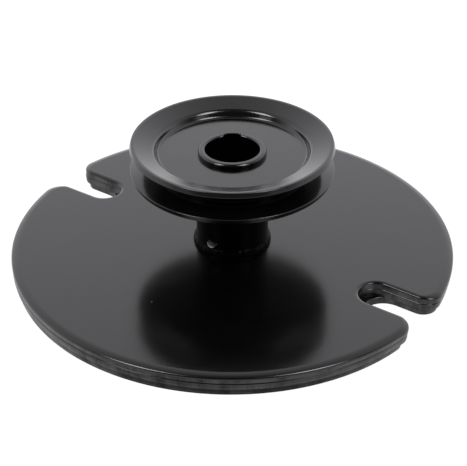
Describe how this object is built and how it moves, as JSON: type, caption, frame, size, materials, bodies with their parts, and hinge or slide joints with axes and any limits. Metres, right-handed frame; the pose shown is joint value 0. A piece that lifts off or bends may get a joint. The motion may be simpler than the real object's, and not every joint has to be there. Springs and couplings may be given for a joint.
{
  "type": "flywheel belt pulley",
  "caption": "Keyed steel hub that carries a V-belt sheave pressed from two halves above a laminated flywheel disc with two opposed rim notches.",
  "frame": {"origin": "on the bore's axis, in the plane of the disc's underside", "axes": "+Z along the bore from the disc to the sheave; the keyway is on the +Y side; the notches lie at 35.1 degrees below +X and opposite"},
  "size_m": [0.1854, 0.1854, 0.0562],
  "materials": {
    "black_paint": "gloss black paint, slightly uneven, over steel",
    "black_paint_weld": "gloss black paint over weld ripples"
  },
  "bodies": {
    "root": {"hub": "black_paint", "top_plate": "black_paint", "middle_plate": "black_paint", "bottom_plate": "black_paint", "plate_plug_welds": "black_paint_weld", "upper_sheave_half": "black_paint", "lower_sheave_half": "black_paint", "hub_weld_bead": "black_paint_weld", "underside_weld_bead": "black_paint_weld", "sheave_weld_bead": "black_paint_weld"}
  },
  "joints": []
}
